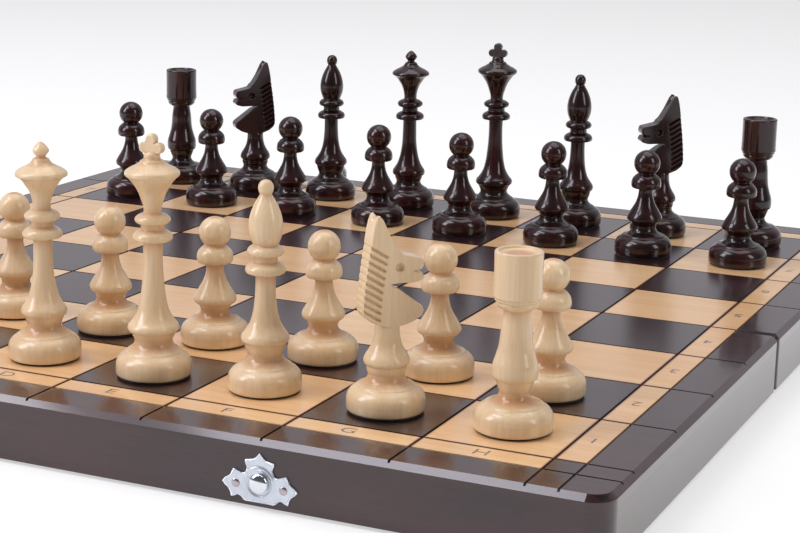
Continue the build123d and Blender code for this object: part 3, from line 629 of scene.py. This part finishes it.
# The queen: turned in one piece, with two rings, a wide flat coronet and a small
# drop-shaped finial.
QUEEN = outline(
    *foot(15.8, 7.4, 9.9, 21.6),
    [(9.9, 21.3), (9.6, 22.6), (8.7, 24.0), (7.5, 25.9), (5.85, 30.4), (4.95, 34.9), (4.4, 39.4),
     (4.15, 46.0), (4.05, 53.7)],
    *ring(COLLAR, 4.05, 53.7, 8.55, 4.7, 58.7),
    [(4.7, 58.7), (4.7, 61.1)],
    *ring(RING, 4.7, 61.1, 7.65, 3.8, 66.1),
    [(3.8, 66.1), (3.9, 69.0), (4.5, 71.8), (5.5, 74.4), (7.1, 76.9), (8.6, 79.0), (10.2, 80.3)],
    [(10.2, 80.3), (11.2, 81.1), (11.1, 82.0), (9.6, 83.4), (7.4, 84.6), (5.2, 85.7)],
    [(5.2, 85.7), (4.5, 86.4), (3.8, 87.3)],
    [(3.8, 87.3), (3.3, 88.1), (2.3, 88.6), (1.95, 89.2)],
    [(1.95, 89.2), (3.0, 90.4), (3.55, 91.5), (3.0, 92.8), (1.7, 94.3), (0.7, 95.1), (0.0, 95.3)],
)
man_pieces("white_queen", QUEEN, pale_wood)

# The king: as the queen but taller, with a plain trefoil cross sawn from flat stock,
# its arms running with the rank.
KING = outline(
    *foot(16.1, 8.05, 10.95, 21.6),
    [(10.95, 21.3), (10.5, 22.5), (9.4, 23.8), (6.9, 28.0), (5.7, 32.4), (4.8, 38.9), (4.25, 45.4),
     (4.2, 58.5)],
    *ring(COLLAR, 4.2, 58.5, 8.35, 5.0, 63.4),
    [(5.0, 63.4), (5.0, 65.7)],
    *ring(RING, 5.0, 65.7, 7.5, 3.75, 70.3),
    [(3.75, 70.3), (3.9, 73.0), (4.75, 75.9), (5.9, 79.1), (7.8, 82.4), (9.0, 84.0), (10.5, 85.6)],
    [(10.5, 85.6), (11.5, 86.6), (11.5, 87.6), (10.0, 89.0), (7.7, 90.2), (5.4, 91.6)],
    [(5.4, 91.6), (4.9, 92.4), (3.8, 93.0), (3.4, 94.0)],
    [(3.4, 94.0), (3.2, 95.2), (2.4, 95.9), (0.0, 96.0)],
)


def stamped(half, inner, thick, round_r, dome=None, count=180):
    """A plate with an outline that mirrors left to right, in the XZ plane, its back on
    Y = 0 and its face at -thick. Points of half are (x, z) from the top centre down to
    the bottom centre. The outline is resampled evenly by angle about the middle, and a
    profile is carried round it: hole wall, face, rounded edge, side, back. The face
    stands dome(radius) higher where dome is given."""
    right = np.array(half, float)
    loop = np.vstack([right, (right[::-1] * (-1, 1))[1 if right[-1][0] == 0 else 0:]])
    if np.allclose(loop[0], loop[-1]):
        loop = loop[:-1]
    angle = np.unwrap(np.arctan2(loop[:, 0], loop[:, 1]))
    even = np.linspace(0, 2 * math.pi, count, endpoint=False)
    wanted = np.sort(np.concatenate([even, angle[angle > 0]]) % (2 * math.pi))
    wanted = wanted[np.concatenate([[True], np.diff(wanted) > 1e-4])]
    closed = np.vstack([loop, loop[:1]])
    turn = np.append(angle, angle[0] + 2 * math.pi)
    edge = np.column_stack([np.interp(wanted, turn, closed[:, i]) for i in (0, 1)])
    edge = np.where(np.abs(edge) < 1e-9, 0, edge)
    reach = np.linalg.norm(edge, axis=1, keepdims=True)
    unit = edge / reach
    arc = np.linspace(0, math.pi / 2, 4)
    steps = np.linspace(0, 1, 26)[:, None]
    span = reach[:, 0] - round_r
    face_r = inner + round_r * 0.6 + steps * (span - inner - round_r * 0.6)
    rim_r = span + round_r * np.sin(arc)[:, None]
    rim_y = thick - round_r * (1 - np.cos(arc))[:, None] + 0 * span
    rise = dome(face_r) if dome else 0 * face_r
    start = np.full((1, len(edge)), max(inner, 1e-3))
    radius = np.vstack([start, start, face_r, rim_r, reach.T])
    depth = np.vstack([0 * start, 0 * start + thick - 0.1, thick + rise, rim_y, 0 * reach.T])
    rows = np.stack([unit[:, 0] * radius, -depth, unit[:, 1] * radius], 2) / 1000
    count_rows, sides = radius.shape
    i, j = np.meshgrid(np.arange(count_rows), np.arange(sides), indexing="ij")
    k, n = (j + 1) % sides, (i + 1) % count_rows
    quads = np.stack([i * sides + j, i * sides + k, n * sides + k, n * sides + j], 2).reshape(-1, 4)
    return rows.reshape(-1, 3), quads.tolist()


def slab(half, thick, round_r):
    """A solid plate rounded on both faces: stamped() and its mirror, back to back."""
    points, quads = stamped(half, 0.0, thick / 2, round_r)
    mirror = points * (1, -1, 1)
    return (np.vstack([points, mirror]),
            quads + [[len(points) + v for v in face[::-1]] for face in quads])


LOBE_R = 2.3


def lobe(x, z, start, end, count):
    """Points round one lobe of the cross, between two angles clockwise from straight up."""
    a = np.radians(np.linspace(start, end, count))
    return np.column_stack([x + LOBE_R * np.sin(a), z + LOBE_R * np.cos(a)]).tolist()


CROSS = [*lobe(0, 3.4, 0, 119.6, 9), (2.0, 1.9), *lobe(3.3, -0.2, -32, 212, 16),
         (2.0, -2.6), (2.0, -3.4), (0, -3.4)]
cross_points, cross_faces = slab(CROSS, 3.6, 0.7)
cross = [(cross_points + (0, 0, 0.098), cross_faces)]
man_pieces("white_king", KING, pale_wood, cross)

# Knights: a turned base with a horse's head sawn from a flat blank 9 mm thick, its
# edges eased with a knife. The mane is ten saw cuts on each side, slanting down and
# forward; one notch splits the ears; the eye is a deep gouge and the
# mouth a short one.
KNIGHT_BASE = outline(
    *foot(16.1, 7.5, 9.4, 21.6),
    [(9.4, 21.3), (9.1, 22.5), (7.25, 25.7), (6.15, 27.8), (5.3, 31.0), (5.05, 33.0), (5.0, 35.4)],
    [(5.0, 35.4), (4.6, 36.4), (0.0, 36.9)],
)
HEAD_T = 9.2
HEAD_ROWS = 240
EASED_EDGE = 0.8
MANE_CUTS = 10
MANE_TOP = 68.5
MANE_PITCH = 2.85
MANE_SLOPE = math.radians(31)
MANE_LENGTH = 8.6
MANE_DEPTH = 1.5
CUT_HALF = 0.8
EYE = (3.3, 59.8)
EYE_R = 1.8
EYE_DEPTH = 2.0
MOUTH = (8.6, 58.0)
MOUTH_DEPTH = 0.8
THINNEST = 0.3
EARS_FROM = 73.5
EARS_NOTCH = 3.2
HEAD_BACK = [(0, 35.6), (-3.6, 36.2), (-8.2, 38.0), (-10.9, 40.3), (-11.8, 42.4), (-11.8, 45.5),
             (-11.5, 49.0), (-11.2, 52.8), (-10.9, 55.4), (-10.6, 57.8), (-10.3, 60.2), (-10.0, 62.4),
             (-9.7, 64.4), (-9.4, 66.3), (-9.2, 67.8), (-9.0, 69.4), (-8.7, 71.8), (-8.1, 75.2),
             (-7.4, 78.4), (-6.6, 80.6), (-5.6, 81.0)]
HEAD_FRONT = [(0, 35.6), (4.6, 36.0), (9.6, 37.4), (13.3, 39.7), (14.0, 41.8), (13.3, 43.6), (8.1, 47.4),
              (3.0, 51.2), (0.2, 52.5), (-0.2, 53.5), (4.0, 53.6), (9.8, 53.4), (13.0, 54.3), (13.8, 55.5),
              (12.8, 57.6), (9.6, 58.0), (12.8, 58.7), (13.7, 60.2), (13.1, 63.0), (8.8, 63.9), (4.8, 64.8),
              (3.6, 66.6), (2.3, 67.6), (1.2, 69.3), (-0.8, 72.6), (-2.4, 76.0), (-4.0, 79.3), (-5.6, 81.0)]


def head_edges():
    """The back and front of the outline at even shares of their points, each the mean of
    five neighbours, nicked where the cuts start, and the (x, z) starts of the cuts."""
    share = np.linspace(0, 1, HEAD_ROWS)
    blur = np.ones(5) / 5
    edges = []
    for edge in (HEAD_BACK, HEAD_FRONT):
        key = np.linspace(0, 1, len(edge))
        fine = [np.interp(share, key, np.array(edge, float)[:, i]) for i in (0, 1)]
        edges.append(np.column_stack([np.convolve(np.pad(e, 2, mode="edge"), blur, "valid") for e in fine]))
    back, front = edges
    back[0] = front[0] = HEAD_BACK[0]
    back[-1] = front[-1] = HEAD_BACK[-1]
    cut_z = MANE_TOP - MANE_PITCH * np.arange(MANE_CUTS)
    cut_x = np.interp(cut_z, back[:, 1], back[:, 0])
    nick = np.clip(1 - np.abs(back[:, 1:] - cut_z) / CUT_HALF, 0, 1).max(1)
    back[:, 0] += 0.25 * nick
    return back, front, cut_x, cut_z


def eased_rectangle():
    """Once round a rounded rectangle: fx and fy are the shares of its straight sides, and a
    is the angle of the eased corner's arc."""
    straight = np.linspace(1, -1, 60)
    corner = np.linspace(0, math.pi / 2, 6)[1:-1]
    thin = np.linspace(1, -1, 7)
    one = np.ones_like
    fx = np.concatenate([straight, -one(corner), -one(thin), -one(corner), straight[::-1], one(corner),
                         one(thin), one(corner)])
    fy = np.concatenate([one(straight), one(corner), thin, -one(corner), -one(straight), -one(corner),
                         thin[::-1], one(corner)])
    a = np.concatenate([0 * straight + math.pi / 2, math.pi / 2 + corner, 0 * thin + math.pi,
                        math.pi + corner, 0 * straight + 1.5 * math.pi, 1.5 * math.pi + corner,
                        0 * thin, corner])
    return fx, fy, a


def gouges(x, z, cut_x, cut_z):
    """Depth of the carving at (x, z): V-shaped cuts, 1 - |distance| / half width, a round
    eye, 1 - (distance / radius)^4, and a wedge for the mouth."""
    dx = x[..., None] - cut_x
    dz = cut_z - z[..., None]
    along = math.cos(MANE_SLOPE) * dx + math.sin(MANE_SLOPE) * dz
    beside = np.abs(math.sin(MANE_SLOPE) * dx - math.cos(MANE_SLOPE) * dz)
    saw = np.clip(1 - beside / CUT_HALF, 0, 1) * np.clip((MANE_LENGTH - along) / CUT_HALF, 0, 1)
    saw = (saw * (along > -2.5)).max(-1)
    eye = np.clip(1 - (np.hypot(x - EYE[0], z - EYE[1]) / EYE_R) ** 4, 0, 1)
    mouth = np.clip(1 - np.abs(z - MOUTH[1]) / 0.5, 0, 1) * np.clip((x - MOUTH[0]) / 1.5, 0, 1)
    return MANE_DEPTH * saw + EYE_DEPTH * eye + MOUTH_DEPTH * mouth


def carved_head(heading):
    """Each row runs straight from the back of the outline to its front and is wrapped by a
    rounded rectangle as thick as the blank: x = (w - c) fx + c cos a and y = (h - c) fy + c sin a,
    w and h being half the row and half the thickness and c the eased corner. gouges() then
    pushes the sides in, and the ears are notched by lowering z near the middle plane."""
    back, front, cut_x, cut_z = head_edges()
    run = front - back
    width = np.linalg.norm(run, axis=1) / 2
    unit = run / np.maximum(2 * width[:, None], 1e-6)
    mid = (back + front) / 2
    c = np.minimum(EASED_EDGE, 0.98 * width)[:, None]
    fx, fy, a = eased_rectangle()
    half = HEAD_T / 2
    offset = (width[:, None] - c) * fx + c * np.cos(a)
    y = (half - c) * fy + c * np.sin(a)
    x = mid[:, :1] + unit[:, :1] * offset
    z = mid[:, 1:] + unit[:, 1:] * offset
    depth = gouges(x, z, cut_x, cut_z) * (np.abs(np.sin(a)) > 0.5)
    y = np.sign(y) * np.maximum(np.abs(y) - depth, THINNEST)
    ears = np.clip((z - EARS_FROM) / 7.0, 0, 1)
    z = z - EARS_NOTCH * ears * np.clip(1 - np.abs(y) / (0.5 * half), 0, 1)
    turn = math.radians(heading)
    solid = np.stack([x * math.cos(turn) - y * math.sin(turn), x * math.sin(turn) + y * math.cos(turn), z], 2)
    rows, sides = x.shape
    i, j = np.meshgrid(np.arange(rows - 1), np.arange(sides), indexing="ij")
    k = (j + 1) % sides
    quads = np.stack([(i + 1) * sides + k, (i + 1) * sides + j, i * sides + j, i * sides + k], 2)
    return solid.reshape(-1, 3) / 1000, quads.reshape(-1, 4).tolist()


for letter, heading in (("b", 45), ("g", 46)):
    man_pieces(f"white_knight_{letter}", KNIGHT_BASE, pale_wood, [carved_head(heading)])

# ------------------------------------------------------------------ dark men
# The same men, stained almost black, with red-brown here and there where the stain
# runs thin, under a glossier lacquer.
# The third colour, #0e0304, is painted shade in the hollows under the rings.
dark_wood = turner_wood("beech, turned, stained black-brown, gloss lacquer", "#34080b", "#160506", "#0e0304",
                        0.42, 0.13)
for letter in "abcdefgh":
    man_pieces(f"black_pawn_{letter}", PAWN, dark_wood)
for letter in "ah":
    man_pieces(f"black_rook_{letter}", ROOK, dark_wood)
for letter, heading in (("b", 224), ("g", 214)):
    man_pieces(f"black_knight_{letter}", KNIGHT_BASE, dark_wood, [carved_head(heading)])
for letter in "cf":
    man_pieces(f"black_bishop_{letter}", BISHOP, dark_wood)
man_pieces("black_queen", QUEEN, dark_wood)
man_pieces("black_king", KING, dark_wood, cross)


# ------------------------------------------------------------------ catches
# Two stamped steel catches, bright nickel plate, on the near wall: a lobed plate with a
# ring pressed up round a domed ball, held by two round-headed nails.
def plated(name, bright, dull, rough):
    """Nickel-plated steel: faint clouding 3 mm across and rolling marks 0.17 mm apart."""
    material, tree = new_material(name)
    place = add(tree, "ShaderNodeTexCoord").outputs["Object"]
    cloud = add(tree, "ShaderNodeTexNoise", {"Vector": place, "Scale": 350.0, "Detail": 3.0})
    body = add(tree, "ShaderNodeMix", {"Factor": cloud.outputs[0], "A": colour(bright), "B": colour(dull)},
               data_type="RGBA")
    spread = add(tree, "ShaderNodeMapRange", {"Value": cloud.outputs[0], "To Min": rough - 0.06,
                                              "To Max": rough + 0.1})
    drawn = add(tree, "ShaderNodeMapping", {"Vector": place, "Scale": (300.0, 6000.0, 6000.0)})
    rolled = add(tree, "ShaderNodeTexNoise", {"Vector": drawn.outputs[0], "Scale": 1.0, "Detail": 2.0})
    relief = add(tree, "ShaderNodeBump", {"Height": rolled.outputs[0], "Strength": 0.12, "Distance": 0.00003})
    finish_material(tree, add(tree, "ShaderNodeBsdfPrincipled", {
        "Base Color": body.outputs["Result"], "Metallic": 1.0, "Roughness": spread.outputs[0],
        "Normal": relief.outputs[0]}))
    return material


nickel = plated("steel, stamped, nickel plate", "#dbe1e8", "#c6ced8", 0.4)
# Painted reflection: the nails' pink-grey colour stands in for the plum-brown wood reflected in their heads.
pink_reflection_nail_metal = plated("steel nail, nickel plate, painted pink reflection", "#c8bcc0", "#a89ca2", 0.28)
ball_metal = plated("steel ball, chrome plate", "#eef0f4", "#d4d8e0", 0.12)
CATCH = [(0, 12.0), (1.6, 10.2), (2.9, 9.3), (4.6, 9.0), (6.4, 8.6), (6.3, 7.4), (5.9, 6.5), (5.6, 5.6),
         (5.8, 4.6), (6.3, 3.7), (7.1, 3.1), (8.1, 3.0), (9.2, 3.35), (10.4, 4.0), (11.7, 4.1), (12.3, 2.9),
         (12.9, 1.6), (13.8, 0.8), (15.2, 0.0), (16.5, -1.6), (15.2, -3.0), (13.8, -4.0), (13.0, -5.4),
         (12.5, -7.3), (11.2, -6.9), (9.6, -6.1), (8.2, -6.6), (7.2, -7.6), (6.2, -8.2), (3, -8.2),
         (0, -8.2)]


def pressed_ring(r):
    """The ring pressed up from behind: a squared cosine 2.2 mm wide, 0.45 mm high at 5.9 mm."""
    return 0.45 * np.cos(np.clip((r - 5.9) / 1.1, -1, 1) * math.pi / 2) ** 2


def lathe_y(profile, sides, centre, way):
    """Revolves (radius, height) about Y through centre; way is -1 when it rises to -Y."""
    points, faces, _ = revolve(profile, sides, (0, 0, 0))
    turned = np.column_stack([points[:, 0], way * points[:, 2], way * -points[:, 1]])
    return turned + np.array(centre), faces


def join(name, groups, materials, body, slot, *nodes):
    """One piece of several solids, each (points, faces, material number)."""
    points, faces, marks = np.zeros((0, 3)), [], []
    for solid, sides, number in groups:
        start = len(points)
        points = np.vstack([points, solid])
        faces += [[start + v for v in face] for face in sides]
        marks += [number] * len(sides)
    piece = mesh_object(name, points, faces, materials, marks)
    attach(piece, body)
    if nodes:
        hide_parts(*nodes)
    return piece


BALL_R = 4.1
BALL_COLLAR = 0.9
CATCH_EDGE = 0.35
CATCH_NAIL_X = 0.0104
plate_box, stud_box, nail_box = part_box("catch_plates"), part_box("catch_studs"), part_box("catch_nails")
front_y = plate_box[1][1]
plate_t = (plate_box[1][1] - plate_box[0][1]) * 1000
stud_z = (stud_box[0][2] + stud_box[1][2]) / 2
nail_z = (nail_box[0][2] + nail_box[1][2]) / 2
latch_x = (stud_box[1][0] - stud_box[0][0]) / 2 - BALL_R / 1000
stud_h = (front_y - stud_box[0][1]) * 1000
BALL = np.array([(0, 0), (3.0, 0.0), (BALL_R - 0.05, 0.15), (BALL_R, BALL_COLLAR)] +
                [(BALL_R * math.cos(a), BALL_COLLAR + (stud_h - plate_t - BALL_COLLAR) * math.sin(a))
                 for a in np.linspace(0.12, math.pi / 2, 12)])
BALL[-1, 0] = 0
NAIL = np.array([(0, 0), (1.7, 0.0)] + [(1.78 * math.cos(a), 0.58 * math.sin(a))
                                       for a in np.linspace(0.15, math.pi / 2, 9)])
NAIL[-1, 0] = 0
for side, sign in (("left", -1), ("right", 1)):
    x = sign * latch_x
    plate, plate_faces = stamped(CATCH, 0.0, plate_t, CATCH_EDGE, pressed_ring)
    ball, ball_faces = lathe_y(BALL, 48, (x, front_y - plate_t / 1000, stud_z), -1)
    groups = [(plate + (x, front_y, stud_z), plate_faces, 0), (ball, ball_faces, 1)]
    for way in (-1, 1):
        nail_place = (x + way * CATCH_NAIL_X, front_y - plate_t / 1000, nail_z)
        nail, nail_faces = lathe_y(NAIL, 32, nail_place, -1)
        groups.append((nail, nail_faces, 2))
    nodes = ("catch_plates", "catch_studs", "catch_nails") if sign < 0 else ()
    join(f"{side}_catch", groups, [nickel, ball_metal, pink_reflection_nail_metal], "near_half", "bright_fittings", *nodes)

# ------------------------------------------------------------------ hasps
# On the far wall, two nickel-plated hasps: a nailed leaf whose knuckles hold a pin, and a
# swinging tongue with a hole for the ball. Opened, the tongue stands up over its leaf.
KNUCKLE_R = 1.6
SHEET_T = 0.8
SHEET_EDGE = 0.25
LEAF_RISE = 0.006
HASP_NAIL = (0.0072, 0.0068)
HOLE_R = 4.8
HOLE_RISE = 0.0196
leaf_box, swing_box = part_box("hasp_leaves"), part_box("left_hasp")
back_y = leaf_box[0][1]
axis_z = swing_box[0][2] + KNUCKLE_R / 1000
axis_y = swing_box[1][1] - KNUCKLE_R / 1000
LEAF = [(0, 7.0), (2.6, 4.6), (5.0, 3.6), (7.4, 3.9), (9.0, 4.2), (10.2, 3.0), (11.4, 1.5), (10.3, -0.2),
        (9.1, -1.2), (8.9, -3.4), (9.0, -5.5), (4, -5.5), (0, -5.5)]
TONGUE = [(0, 11.4), (1.6, 9.6), (2.9, 8.6), (4.6, 8.7), (6.3, 8.0), (6.9, 6.2), (8.2, 4.4), (9.3, 2.2),
          (9.55, -0.4), (9.0, -3.4), (7.7, -6.2), (6.3, -8.2), (5.4, -10.6), (5.9, -13.0), (6.2, -15.0),
          (4.6, -16.4), (3.0, -17.4), (1.5, -17.6), (0, -17.6)]


def knuckle(x0, x1, radius):
    """A rolled knuckle along X at the hasp's axis, its ends eased."""
    half = (x1 - x0) / 2
    profile = np.array([(0, -half), (radius - 0.2, -half), (radius, 0.2 - half), (radius, half - 0.2),
                        (radius - 0.2, half), (0, half)])
    points, faces, _ = revolve(profile, 32, (0, 0, 0))
    turned = np.column_stack([points[:, 2] + (x0 + x1) / 2000, points[:, 0], points[:, 1]])
    return turned, faces


def bent(points, tip):
    """Curls the end of the tongue towards its foot side: y falls with the square of how
    far a point lies past tip."""
    past = np.clip(points[:, 2] - tip, 0, None)
    return points - np.column_stack([0 * past, past ** 2 * 30, 0 * past])


for side, sign in (("left", -1), ("right", 1)):
    x = sign * latch_x
    centre = np.array([x, axis_y, axis_z])
    leaf, leaf_faces = stamped(LEAF, 0.0, SHEET_T, SHEET_EDGE)
    leaf = leaf * (-1, -1, 1) + (x, back_y, axis_z + LEAF_RISE)
    groups = [(leaf, leaf_faces, 0)]
    for a, b in ((-8.4, -3.2), (3.2, 8.4)):
        roll, roll_faces = knuckle(a, b, KNUCKLE_R)
        groups.append((roll + centre, roll_faces, 0))
    for way in (-1, 1):
        nail_place = (x + way * HASP_NAIL[0], back_y + SHEET_T / 1000, axis_z + HASP_NAIL[1])
        nail, nail_faces = lathe_y(NAIL, 32, nail_place, 1)
        groups.append((nail, nail_faces, 1))
    nodes = ("hasp_leaves", "hasp_nails") if sign < 0 else ()
    join(f"{side}_hasp_leaf", groups, [nickel, pink_reflection_nail_metal], "far_half", "bright_fittings", *nodes)
    tongue, tongue_faces = stamped(TONGUE, HOLE_R, SHEET_T, SHEET_EDGE)
    tongue = bent(tongue, 0.008) + centre + (0, SHEET_T / 2000, HOLE_RISE)
    roll, roll_faces = knuckle(-3.0, 3.0, KNUCKLE_R)
    join(f"{side}_hasp_tongue", [(tongue, tongue_faces, 0), (roll + centre, roll_faces, 0)], [nickel],
         f"{side}_hasp", "bright_fittings", f"{side}_hasp")


# ------------------------------------------------------------------ board hinges
# Small brass butt hinges let into the rims under the seam, with countersunk screws. The
# leaves are plain drawn brass, a little tarnished.
def brass(name, bright, dull, rough):
    """Plain brass: tarnish in clouds 6 mm across, and drawing marks 0.2 mm apart."""
    material, tree = new_material(name)
    place = add(tree, "ShaderNodeTexCoord").outputs["Object"]
    tarnish = add(tree, "ShaderNodeTexNoise", {"Vector": place, "Scale": 160.0, "Detail": 4.0})
    body = add(tree, "ShaderNodeMix", {"Factor": tarnish.outputs[0], "A": colour(bright), "B": colour(dull)},
               data_type="RGBA")
    drawn = add(tree, "ShaderNodeMapping", {"Vector": place, "Scale": (250.0, 5000.0, 5000.0)})
    marks = add(tree, "ShaderNodeTexNoise", {"Vector": drawn.outputs[0], "Scale": 1.0, "Detail": 2.0})
    relief = add(tree, "ShaderNodeBump", {"Height": marks.outputs[0], "Strength": 0.2, "Distance": 0.00003})
    finish_material(tree, add(tree, "ShaderNodeBsdfPrincipled", {
        "Base Color": body.outputs["Result"], "Metallic": 1.0, "Roughness": rough,
        "Normal": relief.outputs[0]}))
    return material


hinge_brass = brass("brass, drawn, plain", "#d9b56a", "#a17c40", 0.32)
screw_brass = brass("brass screw", "#e0bf78", "#b08a48", 0.26)
for node in ("near_hinge_leaves", "far_hinge_leaves", "hinge_pins"):
    clothe(node, hinge_brass)
for node in ("near_hinge_screws", "far_hinge_screws"):
    clothe(node, screw_brass)
